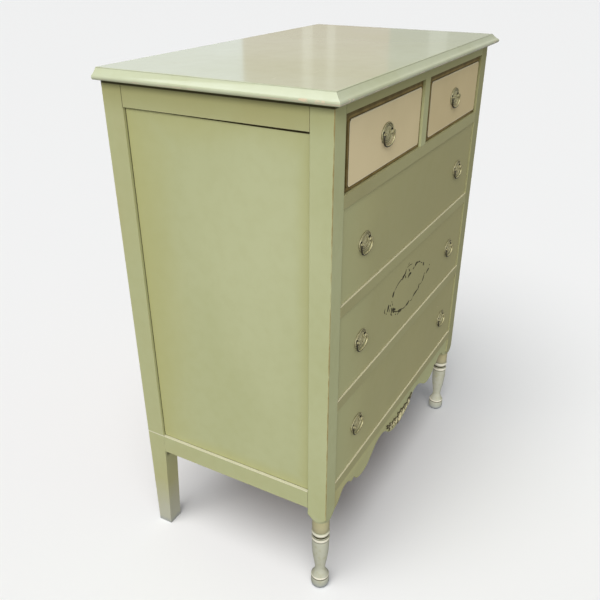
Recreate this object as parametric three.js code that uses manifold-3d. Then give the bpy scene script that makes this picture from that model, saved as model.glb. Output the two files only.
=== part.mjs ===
// Tall painted chest of drawers: a frame-and-panel carcass with two small drawers over three
// full-width ones, turned front legs, tapered back legs, a shaped apron with a carving on it,
// and oval pulls with drop bails.
// Millimetres, +Z up, the front faces -Y, and the origin is on the floor under the middle.
import * as THREE from 'three';
import { mergeVertices } from 'three/addons/utils/BufferGeometryUtils.js';
import Module from 'manifold-3d';

const wasm = await Module();
wasm.setup();

// ---- Driving dimensions -----------------------------------------------------------------

// Carcass
const bodyWidth = 848;
const bodyDepth = 483;
const frontPostWidth = 42.5;
const frontPostDepth = 45;
const rearPostWidth = 42.5;
const rearPostDepth = 46;
const rearFootWidth = 38;
const rearFootDepth = 36;

// Heights, from the floor upwards
const sideRailFloorGap = 241.5;
const frontRailFloorGap = 273.5;
const railHeight = 24.5;
const tallOpening = 189.5;
const smallOpening = 136.5;
const topRailHeight = 22;
const topThickness = 21;

// Boards
const frontRailDepth = 60;
const stileWidth = 28;
const sideRailThickness = 20;
const sideTopRailHeight = 47;
const sideBottomRailHeight = 46;
const panelThickness = 6;
const panelRecess = 7;
const grooveDepth = 8;
const backPanelThickness = 6;
const backPanelInset = 7;
const runnerWidth = 42;
const runnerThickness = 18;
const guideHeight = 14;
const guideEase = 1; // each side of the centre guide, in from the stile
const rearRailDepth = 40;

// Top slab
const topOverhang = 22.5;
const topFrontOverhang = 20.5;
const noseRadius = 5;
const mouldingWidth = 14.5;
const filletStep = 1.2;

// Drawers
const frontSetback = 3;
const frontThickness = 19;
const frontSideGap = 1.5;
const frontTopGap = 2;
const frontBottomGap = 1;
const fieldHeight = 2;
const fieldCorner = 7;
const fieldTopBorder = 12;
const fieldSideBorder = 10;
const fieldBottomBorder = 7.5;
const boxSideGap = 2;
const boxThickness = 12;
const boxTopGap = 8;
const boxBackDrop = 8;
const boxRearGap = 12;
const bottomThickness = 5;
const bottomRaise = 9;
const bottomGrooveDepth = 6;

// Pulls
const plateWidth = 57;
const plateHeight = 40;
const plateThickness = 1.2;
const plateRim = 1.1;
const pullSpacing = 556; // between the two pulls of a full-width drawer
const studSpacing = 39;
const studHeadRadius = 4;
const studHeadWidth = 5;
const studReach = 5; // from the drawer's face to the bail's turning axis
const stemRadius = 2.4;
const stemRootRadius = 2.9;
const wireRadius = 1.8;
const bailDrop = 23;

// Apron and carving
const apronThickness = 20;
const apronSetback = 3;
const carvingRelief = 7;
const carvingDrop = 45; // from the apron's top down to the middle of the flower heads

// Clearances
const glueLine = 0.3;
const turningLoss = 0.2; // what the lathe takes off the flats of a front leg
const pinClearance = 0.5;
const armGap = 1.4; // between a stud's outer end and the bail's arm

// ---- Sizes that follow ------------------------------------------------------------------

const halfWidth = bodyWidth / 2;
const frontY = -bodyDepth / 2;
const backY = bodyDepth / 2;
const openingHalf = halfWidth - frontPostWidth;
const frontPostBack = frontY + frontPostDepth;
const rearPostFront = backY - rearPostDepth;
const lowestOpeningZ = frontRailFloorGap + railHeight;
const smallOpeningZ = lowestOpeningZ + 3 * (tallOpening + railHeight);
const topRailZ = smallOpeningZ + smallOpening;
const bodyTop = topRailZ + topRailHeight;
const panelOuter = halfWidth - panelRecess;
const panelBottom = sideRailFloorGap + sideBottomRailHeight - grooveDepth + glueLine;
const panelTop = bodyTop - sideTopRailHeight + grooveDepth - glueLine;
const backPanelFront = backY - backPanelInset - backPanelThickness;
const drawerFaceY = frontY + frontSetback;
const boxFrontY = drawerFaceY + frontThickness;
const boxBackY = backPanelFront - boxRearGap;
const overCut = 5; // how far a cutting tool runs past the wood
const lap = 1; // how far boards that are glued into one piece run into each other

// ---- Colours ----------------------------------------------------------------------------

const paint = { color: 0xb3b68c, roughness: 0.35, metalness: 0 };
const cream = { color: 0xb6a785, roughness: 0.4, metalness: 0 };
const bareWood = { color: 0xb08a5c, roughness: 0.7, metalness: 0 };
const agedBrass = { color: 0x77744f, roughness: 0.45, metalness: 0.8 };

// ---- Solids -----------------------------------------------------------------------------

// A closed geometry as a solid that can be joined and cut.
function solid(geometry) {
  const shell = geometry.clone();
  shell.deleteAttribute('normal');
  shell.deleteAttribute('uv');
  const merged = mergeVertices(shell, 1e-3);
  return new wasm.Manifold(
    new wasm.Mesh({
      numProp: 3,
      vertProperties: merged.attributes.position.array,
      triVerts: new Uint32Array(merged.index.array),
    }),
  );
}

function geometryOf(body) {
  const { numProp, numVert, vertProperties, triVerts } = body.getMesh();
  const places = new Float32Array(numVert * 3);
  for (let i = 0; i < numVert; i++) {
    places.set(vertProperties.subarray(i * numProp, i * numProp + 3), i * 3);
  }
  const geometry = new THREE.BufferGeometry();
  geometry.setAttribute('position', new THREE.BufferAttribute(places, 3));
  geometry.setIndex(new THREE.BufferAttribute(new Uint32Array(triVerts), 1));
  geometry.computeVertexNormals();
  return geometry;
}

function joined(first, ...others) {
  return geometryOf(others.reduce((sum, other) => sum.add(solid(other)), solid(first)));
}

function cut(first, ...tools) {
  return geometryOf(tools.reduce((rest, tool) => rest.subtract(solid(tool)), solid(first)));
}

function common(first, second) {
  return geometryOf(solid(first).intersect(solid(second)));
}

// A board between two corners, its spans given in either order.
function board(xSpan, ySpan, zSpan) {
  const spans = [xSpan, ySpan, zSpan];
  const sizes = spans.map(([a, b]) => Math.abs(b - a));
  const middles = spans.map(([a, b]) => (a + b) / 2);
  return new THREE.BoxGeometry(...sizes).translate(...middles);
}

// An outline in Y and Z, sawn along X.
function sawnAlongX(shape, fromX, toX, curveSegments = 6) {
  const settings = { depth: toX - fromX, bevelEnabled: false, curveSegments };
  const turn = new THREE.Matrix4().makeBasis(
    new THREE.Vector3(0, 1, 0),
    new THREE.Vector3(0, 0, 1),
    new THREE.Vector3(1, 0, 0),
  );
  return new THREE.ExtrudeGeometry(shape, settings).applyMatrix4(turn).translate(fromX, 0, 0);
}

// An outline in X and Z, sawn along Y.
function sawnAlongY(shape, fromY, toY, curveSegments = 6) {
  const settings = { depth: toY - fromY, bevelEnabled: false, curveSegments };
  return new THREE.ExtrudeGeometry(shape, settings).rotateX(Math.PI / 2).translate(0, toY, 0);
}

function outline(points) {
  return new THREE.Shape(points.map(([a, b]) => new THREE.Vector2(a, b)));
}

// A turned piece: the profile gives radius and height, and starts and ends on the axis.
function turned(profile, segments) {
  const points = profile.map(([radius, height]) => new THREE.Vector2(radius, height));
  return new THREE.LatheGeometry(points, segments).rotateX(Math.PI / 2);
}

function part(name, geometry, finish) {
  const mesh = new THREE.Mesh(geometry, new THREE.MeshStandardMaterial(finish));
  mesh.name = name;
  return mesh;
}

// ---- Top slab ---------------------------------------------------------------------------

// One moulded edge from the underside up to the top face: distance in from the nose, and height.
function mouldedEdge() {
  const edge = new THREE.Path();
  const shoulder = noseRadius * Math.SQRT1_2;
  edge.moveTo(noseRadius, 0);
  edge.absarc(noseRadius, noseRadius, noseRadius, -Math.PI / 2, -1.25 * Math.PI, true);
  edge.quadraticCurveTo(
    mouldingWidth * 0.56,
    noseRadius + shoulder + (topThickness - noseRadius - shoulder) * 0.3,
    mouldingWidth - filletStep,
    topThickness - filletStep,
  );
  edge.lineTo(mouldingWidth, topThickness - filletStep);
  edge.lineTo(mouldingWidth, topThickness);
  return edge.getPoints(5).map(({ x, y }) => [x, y]);
}

function topSlab() {
  const edge = mouldedEdge();
  const bottom = bodyTop + glueLine;
  const nose = frontY - topFrontOverhang;
  const tip = halfWidth + topOverhang;
  const frontToBack = outline([
    [backY, bottom],
    ...edge.map(([inset, height]) => [nose + inset, bottom + height]),
    [backY, bottom + topThickness],
  ]);
  const sideToSide = outline([
    ...edge.map(([inset, height]) => [inset - tip, bottom + height]),
    ...edge.map(([inset, height]) => [tip - inset, bottom + height]).reverse(),
  ]);
  return common(
    sawnAlongX(frontToBack, -tip - overCut, tip + overCut),
    sawnAlongY(sideToSide, nose - overCut, backY + overCut),
  );
}

// ---- Posts and side frames --------------------------------------------------------------

// The front leg is turned below the square post: drum foot with a sharp collar, waist, long
// vase, two beads with a quirk between them, neck, and the shoulder cut into the square.
const legRadius = Math.min(frontPostWidth, frontPostDepth) / 2 - turningLoss;
const legSegments = 18;

// Radius and height of each point, from the floor upwards.
function legProfile() {
  const neck = legRadius * 0.925;
  const waist = legRadius * 0.565;
  const squareRadius = Math.hypot(frontPostWidth, frontPostDepth) / 2;
  const foot = [
    [0, 0],
    [legRadius * 0.8, 0],
    [legRadius * 0.96, 4],
    [legRadius, 11],
    [legRadius * 0.985, 24],
    [legRadius * 0.92, 26],
    [legRadius * 0.965, 30],
    [legRadius * 0.9, 33],
    [legRadius * 0.7, 42],
    [waist, 52],
  ];
  const vase = [
    [waist * 1.13, 68],
    [legRadius * 0.8, 90],
    [legRadius * 0.91, 115],
    [neck, 143],
  ];
  const beads = [
    [legRadius * 0.99, 147],
    [legRadius * 0.99, 153],
    [neck, 158],
    [neck * 0.95, 161],
    [legRadius * 0.99, 164],
    [legRadius * 0.99, 170],
    [neck, 174],
  ];
  const shoulder = [
    [neck, 206],
    [squareRadius + 0.5, 226],
    [squareRadius * 1.5, 227],
    [squareRadius * 1.5, bodyTop + overCut],
    [0, bodyTop + overCut],
  ];
  return [...foot, ...vase, ...beads, ...shoulder];
}

// The groove that holds a side panel, cut into a post from its inner end.
function panelGroove(side, innerY, towardsPost) {
  return board(
    [side * (panelOuter + glueLine), side * (panelOuter - panelThickness - glueLine)],
    [innerY - towardsPost * overCut, innerY + towardsPost * grooveDepth],
    [panelBottom - glueLine, panelTop + glueLine],
  );
}

function frontPost(side) {
  const x = side * (halfWidth - frontPostWidth / 2);
  const y = frontY + frontPostDepth / 2;
  const square = board(
    [side * halfWidth, side * openingHalf],
    [frontY, frontPostBack],
    [0, bodyTop],
  );
  const lathe = turned(legProfile(), legSegments).translate(x, y, 0);
  return cut(common(square, lathe), panelGroove(side, frontPostBack, -1));
}

function rearPost(side) {
  const outer = side * halfWidth;
  const seenFromSide = outline([
    [backY, 0],
    [backY, bodyTop],
    [rearPostFront, bodyTop],
    [rearPostFront, sideRailFloorGap],
    [backY - rearFootDepth, 0],
  ]);
  const seenFromFront = outline([
    [outer, 0],
    [outer, bodyTop],
    [outer - side * rearPostWidth, bodyTop],
    [outer - side * rearPostWidth, sideRailFloorGap],
    [outer - side * rearFootWidth, 0],
  ]);
  const across = [outer, outer - side * rearPostWidth].sort((a, b) => a - b);
  const blank = common(
    sawnAlongX(seenFromSide, across[0] - overCut, across[1] + overCut),
    sawnAlongY(seenFromFront, rearPostFront - overCut, backY + overCut),
  );
  return cut(blank, panelGroove(side, rearPostFront, 1));
}

const sideRailSpan = [frontPostBack + glueLine, rearPostFront - glueLine];

function sideRail(side, [low, high], grooveSpan) {
  const across = [side * halfWidth, side * (halfWidth - sideRailThickness)];
  const grooveAcross = [
    side * (panelOuter + glueLine),
    side * (panelOuter - panelThickness - glueLine),
  ];
  const groove = board(grooveAcross, [frontY, backY], grooveSpan);
  return cut(board(across, sideRailSpan, [low, high]), groove);
}

function sidePanel(side) {
  const seat = grooveDepth - glueLine;
  return board(
    [side * panelOuter, side * (panelOuter - panelThickness)],
    [frontPostBack - seat, rearPostFront + seat],
    [panelBottom, panelTop],
  );
}

// ---- Front rails, runners and stile -----------------------------------------------------

const frameHalf = openingHalf - glueLine;
const runnerEndY = backPanelFront - glueLine;

// The frame that a tier of drawers runs on: the front rail, two runners with their guides,
// and the rear rail. A centre runner is added under a pair of drawers.
function drawerFrame(topZ, paired) {
  const runnerZ = [topZ - runnerThickness, topZ];
  const guideZ = [topZ - lap, topZ + guideHeight];
  const runnerSpan = [frontY + lap, runnerEndY - lap];
  const inner = openingHalf - runnerWidth;
  const earHalf = halfWidth - sideRailThickness - glueLine;
  const pieces = [
    board([-frameHalf, frameHalf], [runnerEndY - rearRailDepth, runnerEndY], runnerZ),
  ];
  for (const side of [-1, 1]) {
    pieces.push(
      board([side * inner, side * frameHalf], runnerSpan, runnerZ),
      board([side * inner, side * earHalf], sideRailSpan, runnerZ),
      board([side * openingHalf, side * earHalf], sideRailSpan, guideZ),
    );
  }
  if (paired) {
    const guideHalf = stileWidth / 2 - guideEase;
    const guideSpan = [frontY + frontRailDepth + glueLine, runnerSpan[1]];
    pieces.push(
      board([-runnerWidth, runnerWidth], runnerSpan, runnerZ),
      board([-guideHalf, guideHalf], guideSpan, guideZ),
    );
  }
  const rail = board(
    [-frameHalf, frameHalf],
    [frontY, frontY + frontRailDepth],
    [topZ - railHeight, topZ],
  );
  return joined(rail, ...pieces);
}

// The rail under the top, and the stile between the small drawers, which it holds.
function topRailAndStile() {
  const rail = board(
    [-frameHalf, frameHalf],
    [frontY, frontY + frontRailDepth],
    [topRailZ, bodyTop],
  );
  const stile = board(
    [-stileWidth / 2, stileWidth / 2],
    [frontY, frontY + frontRailDepth],
    [smallOpeningZ + glueLine, topRailZ + lap],
  );
  return joined(rail, stile);
}

function backPanel() {
  const half = halfWidth - rearPostWidth - glueLine;
  return board(
    [-half, half],
    [backPanelFront, backPanelFront + backPanelThickness],
    [frontRailFloorGap, bodyTop],
  );
}

// ---- Apron and carving ------------------------------------------------------------------

const apronTop = frontRailFloorGap - glueLine;
const apronFace = frontY + apronSetback;
const apronEnd = openingHalf - glueLine;

// The lower edge from the middle out to the post: distance from the middle, and depth below the
// rail. A rounded drop, a long sweep to a lobe, a notch and tooth, and a bracket at the post.
function apronHalfEdge() {
  const edge = new THREE.Path();
  edge.moveTo(0, 67);
  edge.bezierCurveTo(88, 67, 72, 25, 122, 25);
  edge.bezierCurveTo(165, 25, 182, 64, 224, 64);
  edge.quadraticCurveTo(264, 64, 275, 36.5);
  edge.lineTo(283, 43);
  edge.lineTo(290, 44);
  edge.quadraticCurveTo(302, 27, 322, 27);
  edge.bezierCurveTo(352, 27, 345, 55, apronEnd, 56);
  return edge.getPoints(6).map(({ x, y }) => [x, apronTop - y]);
}

function apron() {
  const half = apronHalfEdge();
  const shape = outline([
    [apronEnd, apronTop],
    [-apronEnd, apronTop],
    ...half.map(([x, z]) => [-x, z]).reverse(),
    ...half.slice(1),
  ]);
  return sawnAlongY(shape, apronFace, apronFace + apronThickness);
}

// A flattened egg, such as a petal or a leaf, lying against the apron: half its length, width
// and thickness, and how far it is turned in the apron's plane.
function petal(x, z, long, wide, proud, tilt) {
  const egg = new THREE.SphereGeometry(1, 9, 6);
  return egg
    .scale(long, proud, wide)
    .rotateY(tilt)
    .translate(x, apronFace - glueLine, z);
}

// Three flower heads joined by leaves, following the rounded drop of the apron.
function apronCarving() {
  const middleZ = apronTop - carvingDrop;
  const pieces = [petal(0, middleZ, 20, 17, carvingRelief, 0)];
  for (const side of [-1, 1]) {
    pieces.push(
      petal(side * 23, middleZ + 2, 14, 8, 5, side * 0.2),
      petal(side * 45, middleZ + 4, 14, 11, 6, 0),
      petal(side * 64, middleZ + 12, 14, 6, 4.5, side * -0.45),
      petal(side * 81, middleZ + 19, 11, 4.5, 3.5, side * -0.25),
    );
  }
  const inFront = board(
    [-halfWidth, halfWidth],
    [frontY - carvingRelief, apronFace - glueLine],
    [0, bodyTop],
  );
  return common(joined(...pieces), inFront);
}

// ---- Pulls ------------------------------------------------------------------------------

const plateSides = 18;
const studSides = 8;

// A round bar along X on the bail's turning axis.
function crossPin(radius, long) {
  const bar = new THREE.CylinderGeometry(radius, radius, long, studSides);
  return bar.rotateZ(Math.PI / 2).translate(0, -studReach, 0);
}

// An oval plate with a raised rim, and the two studs that carry the bail.
// The pull's own origin is on the drawer's face, at the middle of the plate.
function pullPlate() {
  const profile = [
    [0, 0],
    [1, 0],
    [1, plateThickness * 0.7],
    [0.92, plateThickness + plateRim],
    [0.8, plateThickness + plateRim],
    [0.72, plateThickness],
    [0, plateThickness],
  ];
  const plate = turned(profile, plateSides)
    .rotateX(Math.PI / 2)
    .scale(plateWidth / 2, 1, plateHeight / 2);
  const studs = [-1, 1].flatMap((side) => {
    const x = (side * studSpacing) / 2;
    const stem = new THREE.CylinderGeometry(stemRadius, stemRootRadius, studReach, studSides);
    stem.translate(x, -studReach / 2, 0);
    const head = crossPin(studHeadRadius, studHeadWidth).translate(x, 0, 0);
    return [stem, head];
  });
  const hole = crossPin(wireRadius + pinClearance, studSpacing + studHeadWidth + overCut);
  return cut(joined(plate, ...studs), hole);
}

// The bail: a bent wire whose ends turn inwards through the studs.
// Its own origin is on its turning axis.
function bail() {
  const studOuter = (studSpacing + studHeadWidth) / 2;
  const arm = studOuter + armGap + wireRadius;
  const half = [
    [studOuter - studHeadWidth, 0],
    [studOuter - studHeadWidth / 2, 0],
    [studOuter, 0],
    [arm - 0.5, -wireRadius],
    [arm + 0.4, -bailDrop * 0.35],
    [arm * 0.88, -bailDrop * 0.72],
    [arm * 0.5, -bailDrop * 0.95],
  ];
  const points = [
    ...half.map(([x, z]) => new THREE.Vector3(-x, 0, z)),
    new THREE.Vector3(0, 0, -bailDrop),
    ...half.map(([x, z]) => new THREE.Vector3(x, 0, z)).reverse(),
  ];
  const route = new THREE.CatmullRomCurve3(points, false, 'centripetal');
  const section = new THREE.Shape().absarc(0, 0, wireRadius, 0, 2 * Math.PI);
  const settings = { extrudePath: route, steps: 20, curveSegments: 4, bevelEnabled: false };
  return new THREE.ExtrudeGeometry(section, settings);
}

// ---- Drawers ----------------------------------------------------------------------------

// A rounded rectangle for the raised field of a small drawer.
function fieldShape(left, right, low, high) {
  const shape = new THREE.Shape();
  const corner = fieldCorner;
  shape.absarc(right - corner, high - corner, corner, 0, Math.PI / 2);
  shape.absarc(left + corner, high - corner, corner, Math.PI / 2, Math.PI);
  shape.absarc(left + corner, low + corner, corner, Math.PI, 1.5 * Math.PI);
  shape.absarc(right - corner, low + corner, corner, 1.5 * Math.PI, 2 * Math.PI);
  return shape;
}

// A drawer in its opening; the group's origin is at the middle of the opening's lower edge.
function drawer(name, openingWidth, openingHeight, pullPlaces, hasField) {
  const group = new THREE.Group();
  const frontHalf = openingWidth / 2 - frontSideGap;
  const frontLow = frontBottomGap;
  const frontHigh = openingHeight - frontTopGap;
  const boxHalf = openingWidth / 2 - boxSideGap;
  const innerHalf = boxHalf - boxThickness;
  const boxLow = glueLine;
  const sideHigh = openingHeight - boxTopGap;
  const bottomZ = [boxLow + bottomRaise, boxLow + bottomRaise + bottomThickness];
  const grooveZ = [bottomZ[0] - glueLine, bottomZ[1] + glueLine];
  const boxY = [boxFrontY + glueLine, boxBackY];
  const fieldBack = hasField ? fieldHeight : 0;

  const slab = board(
    [-frontHalf, frontHalf],
    [drawerFaceY + fieldBack, boxFrontY],
    [frontLow, frontHigh],
  );
  const frontGroove = board(
    [-innerHalf, innerHalf],
    [boxFrontY - bottomGrooveDepth, boxFrontY + overCut],
    grooveZ,
  );
  const field = fieldShape(
    fieldSideBorder - frontHalf,
    frontHalf - fieldSideBorder,
    frontLow + fieldBottomBorder,
    frontHigh - fieldTopBorder,
  );
  const faced = hasField
    ? joined(slab, sawnAlongY(field, drawerFaceY, drawerFaceY + fieldBack + lap, 4))
    : slab;
  group.add(part(`${name}_front`, cut(faced, frontGroove), hasField ? cream : paint));

  for (const [label, side] of [['left', -1], ['right', 1]]) {
    const plank = board([side * boxHalf, side * innerHalf], boxY, [boxLow, sideHigh]);
    const groove = board(
      [side * (innerHalf - overCut), side * (innerHalf + bottomGrooveDepth)],
      [boxFrontY - overCut, boxBackY + overCut],
      grooveZ,
    );
    group.add(part(`${name}_side_${label}`, cut(plank, groove), bareWood));
  }

  const back = board(
    [glueLine - innerHalf, innerHalf - glueLine],
    [boxBackY - boxThickness, boxBackY],
    [bottomZ[1] + glueLine, sideHigh - boxBackDrop],
  );
  group.add(part(`${name}_back`, back, bareWood));

  const tongue = bottomGrooveDepth - glueLine;
  const tongueBoard = board(
    [-innerHalf - tongue, innerHalf + tongue],
    [boxFrontY + 2 * glueLine, boxBackY],
    bottomZ,
  );
  const lip = board(
    [2 * glueLine - innerHalf, innerHalf - 2 * glueLine],
    [boxFrontY - tongue, boxBackY - lap],
    bottomZ,
  );
  group.add(part(`${name}_bottom`, joined(tongueBoard, lip), bareWood));

  const middle = (frontLow + frontHigh) / 2;
  for (const [suffix, x] of pullPlaces) {
    const plate = part(`${name}_pull_plate${suffix}`, pullPlate(), agedBrass);
    plate.position.set(x, drawerFaceY - glueLine, middle);
    const handle = part(`${name}_bail${suffix}`, bail(), agedBrass);
    handle.position.set(x, drawerFaceY - glueLine - studReach, middle);
    group.add(plate, handle);
  }
  return group;
}

// ---- The chest --------------------------------------------------------------------------

const chest = new THREE.Group();
chest.add(part('top_slab', topSlab(), paint));

for (const [label, side] of [['left', -1], ['right', 1]]) {
  const upperRail = [bodyTop - sideTopRailHeight, bodyTop];
  const lowerRail = [sideRailFloorGap, sideRailFloorGap + sideBottomRailHeight];
  const upperGroove = [upperRail[0] - overCut, panelTop + glueLine];
  const lowerGroove = [panelBottom - glueLine, lowerRail[1] + overCut];
  chest.add(
    part(`front_post_${label}`, frontPost(side), paint),
    part(`rear_post_${label}`, rearPost(side), paint),
    part(`side_panel_${label}`, sidePanel(side), paint),
    part(`side_top_rail_${label}`, sideRail(side, upperRail, upperGroove), paint),
    part(`side_bottom_rail_${label}`, sideRail(side, lowerRail, lowerGroove), paint),
  );
}

chest.add(
  part('top_rail_and_stile', topRailAndStile(), paint),
  part('apron', apron(), paint),
  part('apron_carving', apronCarving(), cream),
  part('back_panel', backPanel(), bareWood),
);

const smallWidth = openingHalf - stileWidth / 2;
for (const [label, side] of [['left', -1], ['right', 1]]) {
  const small = drawer(`small_drawer_${label}`, smallWidth, smallOpening, [['', 0]], true);
  small.position.set((side * (openingHalf + stileWidth / 2)) / 2, 0, smallOpeningZ);
  chest.add(small);
}
chest.add(part('small_drawer_frame', drawerFrame(smallOpeningZ, true), paint));

const pairOfPulls = [['_left', -pullSpacing / 2], ['_right', pullSpacing / 2]];
['upper', 'middle', 'lower'].forEach((label, index) => {
  const openingZ = smallOpeningZ - (index + 1) * (tallOpening + railHeight);
  const wide = drawer(`${label}_drawer`, 2 * openingHalf, tallOpening, pairOfPulls, false);
  wide.position.set(0, 0, openingZ);
  chest.add(wide, part(`${label}_drawer_frame`, drawerFrame(openingZ, false), paint));
});

// The front overhang is balanced about the origin.
chest.position.y = topFrontOverhang / 2;

const object = new THREE.Group();
object.add(chest);

export default object;
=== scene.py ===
import math

import bmesh
import bpy
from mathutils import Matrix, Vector


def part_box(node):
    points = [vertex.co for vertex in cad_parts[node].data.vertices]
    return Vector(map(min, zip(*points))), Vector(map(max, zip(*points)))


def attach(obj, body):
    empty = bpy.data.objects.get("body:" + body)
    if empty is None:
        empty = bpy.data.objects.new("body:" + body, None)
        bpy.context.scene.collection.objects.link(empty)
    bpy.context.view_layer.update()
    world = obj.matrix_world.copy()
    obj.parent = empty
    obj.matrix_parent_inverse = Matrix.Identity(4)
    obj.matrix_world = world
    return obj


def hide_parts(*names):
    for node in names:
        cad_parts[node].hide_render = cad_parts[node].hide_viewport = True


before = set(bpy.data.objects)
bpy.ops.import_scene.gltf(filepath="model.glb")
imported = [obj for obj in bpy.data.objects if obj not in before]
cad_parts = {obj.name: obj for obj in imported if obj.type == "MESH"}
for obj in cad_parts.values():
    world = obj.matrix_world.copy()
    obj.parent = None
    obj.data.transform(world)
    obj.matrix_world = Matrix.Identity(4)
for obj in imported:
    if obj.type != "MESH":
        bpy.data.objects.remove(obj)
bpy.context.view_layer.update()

# ---- Sizes, in metres, from the frame -------------------------------------------------------

slab_low, slab_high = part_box("top_slab")
post_low, post_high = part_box("front_post_left")
rear_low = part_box("rear_post_left")[0]
upper_side_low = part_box("side_top_rail_left")[0]
lower_side_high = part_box("side_bottom_rail_left")[1]
apron_low, apron_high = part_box("apron")
carving_low, carving_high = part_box("apron_carving")
field_low, field_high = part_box("small_drawer_left_front")

half_width = -post_low.x
PANEL_FACE = -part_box("side_panel_left")[0].x
front_y = post_low.y
drawer_face_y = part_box("middle_drawer_front")[0].y
opening_half = -post_high.x

MM = 0.001
FRONT_GAP = 1 * MM
EDGE_ROUNDING = 1.3 * MM
PAINT_THICKNESS = 0.12 * MM
NOSE_RADIUS = 5 * MM
MOULDING_WIDTH = 14.5 * MM
FILLET_STEP = 1.2 * MM
STUD_SPACING = 39 * MM
STUD_REACH = 5 * MM
WIRE_RADIUS = 1.8 * MM
BAIL_DROP = 23 * MM
PLATE_HALF_WIDTH = 28.5 * MM
PLATE_HALF_HEIGHT = 20 * MM
BARREL_HALF_LENGTH = 2.5 * MM
BAIL_PLAY = 0.3 * MM
RING_STEPS = 96

TALL_DRAWERS = ("upper_drawer", "middle_drawer", "lower_drawer")
SMALL_DRAWERS = ("small_drawer_left", "small_drawer_right")
SIDES = ("left", "right")
PULLS = [(drawer, "") for drawer in SMALL_DRAWERS]
PULLS += [(drawer, "_" + side) for drawer in TALL_DRAWERS for side in SIDES]

# ---- Shader kit -----------------------------------------------------------------------------


def tint(code):
    """A hex colour as linear red, green and blue."""
    parts = [int(code[i : i + 2], 16) / 255 for i in (1, 3, 5)]
    return tuple(c / 12.92 if c <= 0.04045 else ((c + 0.055) / 1.055) ** 2.4 for c in parts)


class Wire:
    """One output of a node, used in an expression like a number, a colour or a vector."""

    def __init__(self, finish, socket):
        self.finish = finish
        self.socket = socket

    def combined(self, operation, first, second):
        wires = [part for part in (first, second) if isinstance(part, Wire)]
        plain = all(wire.socket.type == "VALUE" for wire in wires)
        kind = "ShaderNodeMath" if plain else "ShaderNodeVectorMath"
        return self.finish.node(kind, {"operation": operation}, {0: first, 1: second})

    def __add__(self, other):
        return self.combined("ADD", self, other)

    def __radd__(self, other):
        return self.combined("ADD", other, self)

    def __sub__(self, other):
        return self.combined("SUBTRACT", self, other)

    def __rsub__(self, other):
        return self.combined("SUBTRACT", other, self)

    def __mul__(self, other):
        return self.combined("MULTIPLY", self, other)

    def __rmul__(self, other):
        return self.combined("MULTIPLY", other, self)

    def __truediv__(self, other):
        return self.combined("DIVIDE", self, other)

    def __pow__(self, other):
        return self.combined("POWER", self, other)

    def __abs__(self):
        return self.finish.node("ShaderNodeMath", {"operation": "ABSOLUTE"}, {0: self})

    def least(self, other):
        return self.combined("MINIMUM", self, other)

    def most(self, other):
        return self.combined("MAXIMUM", self, other)


class Finish:
    """One surface finish: a material and the nodes that make it."""

    def __init__(self, name):
        self.material = bpy.data.materials.new(name)
        self.material.use_nodes = True
        self.tree = self.material.node_tree
        self.tree.nodes.clear()
        self.place = self.node("ShaderNodeTexCoord", output="Object")
        axes = self.node("ShaderNodeSeparateXYZ", inputs={0: self.place})
        self.x, self.y, self.z = (Wire(self, socket) for socket in axes.socket.node.outputs)

    def node(self, kind, settings=None, inputs=None, output=0):
        made = self.tree.nodes.new(kind)
        for key, value in (settings or {}).items():
            setattr(made, key, value)
        for key, value in (inputs or {}).items():
            self.feed(made.inputs[key], value)
        return Wire(self, made.outputs[output]) if made.outputs else None

    def feed(self, socket, value):
        if isinstance(value, Wire):
            self.tree.links.new(value.socket, socket)
        elif socket.type == "RGBA":
            socket.default_value = (*value, 1)
        elif socket.type == "VECTOR" and not isinstance(value, (tuple, Vector)):
            socket.default_value = (value, value, value)
        else:
            socket.default_value = value

    def ramp(self, value, start, end):
        """0 up to start and 1 from end on, with a soft step between them."""
        settings = {"interpolation_type": "SMOOTHSTEP"}
        return self.node("ShaderNodeMapRange", settings, {0: value, 1: start, 2: end})

    def band(self, value, middle, half, soft):
        """1 within half of the middle, fading to 0 over the soft distance."""
        return self.ramp(abs(value - middle), half + soft, half)

    def mix(self, mask, first, second):
        return self.node("ShaderNodeMix", {"data_type": "RGBA"}, {0: mask, 6: first, 7: second}, 2)

    def clouds(self, scale, detail=3, stretch=(1, 1, 1), rough=0.5):
        inputs = {"Vector": self.place * stretch, "Scale": scale, "Detail": detail, "Roughness": rough}
        return self.node("ShaderNodeTexNoise", {}, inputs)

    def specks(self, scale, size, share, stretch=(1, 1, 1)):
        """Small spots, in about that share of cells of 1/scale metres."""
        wobble = self.clouds(scale * 2.3, 2) * 0.35 / scale
        where = {"Vector": self.place * stretch + wobble, "Scale": scale}
        near = self.node("ShaderNodeTexVoronoi", {}, where, "Distance")
        cell = self.node("ShaderNodeTexVoronoi", {}, where, "Color")
        chance = self.node("ShaderNodeSeparateXYZ", {}, {0: cell})
        return self.ramp(near, size, size * 0.55) * self.ramp(chance, share + 0.01, share)

    def arris(self, radius, start=0.985, end=0.86):
        """1 along the edges of the wood, 0 on its flats."""
        soft = self.node("ShaderNodeBevel", {"samples": 4}, {"Radius": radius})
        true = self.node("ShaderNodeNewGeometry", {}, {}, "Normal")
        settings = {"operation": "DOT_PRODUCT"}
        turn = self.node("ShaderNodeVectorMath", settings, {0: soft, 1: true}, "Value")
        return self.ramp(turn, start, end)

    def surface(self, color, roughness, relief=None, depth=1.0, **constants):
        """Ends the material. relief is a height in metres, and the rest are constants."""
        inputs = {"Base Color": color, "Roughness": roughness}
        if relief is not None:
            inputs["Normal"] = self.node("ShaderNodeBump", {}, {"Distance": depth, "Height": relief})
        inputs.update({key.replace("_", " "): value for key, value in constants.items()})
        skin = self.node("ShaderNodeBsdfPrincipled", {}, inputs)
        self.node("ShaderNodeOutputMaterial", {}, {"Surface": skin})
        return self.material


# ---- Paint ----------------------------------------------------------------------------------

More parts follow.
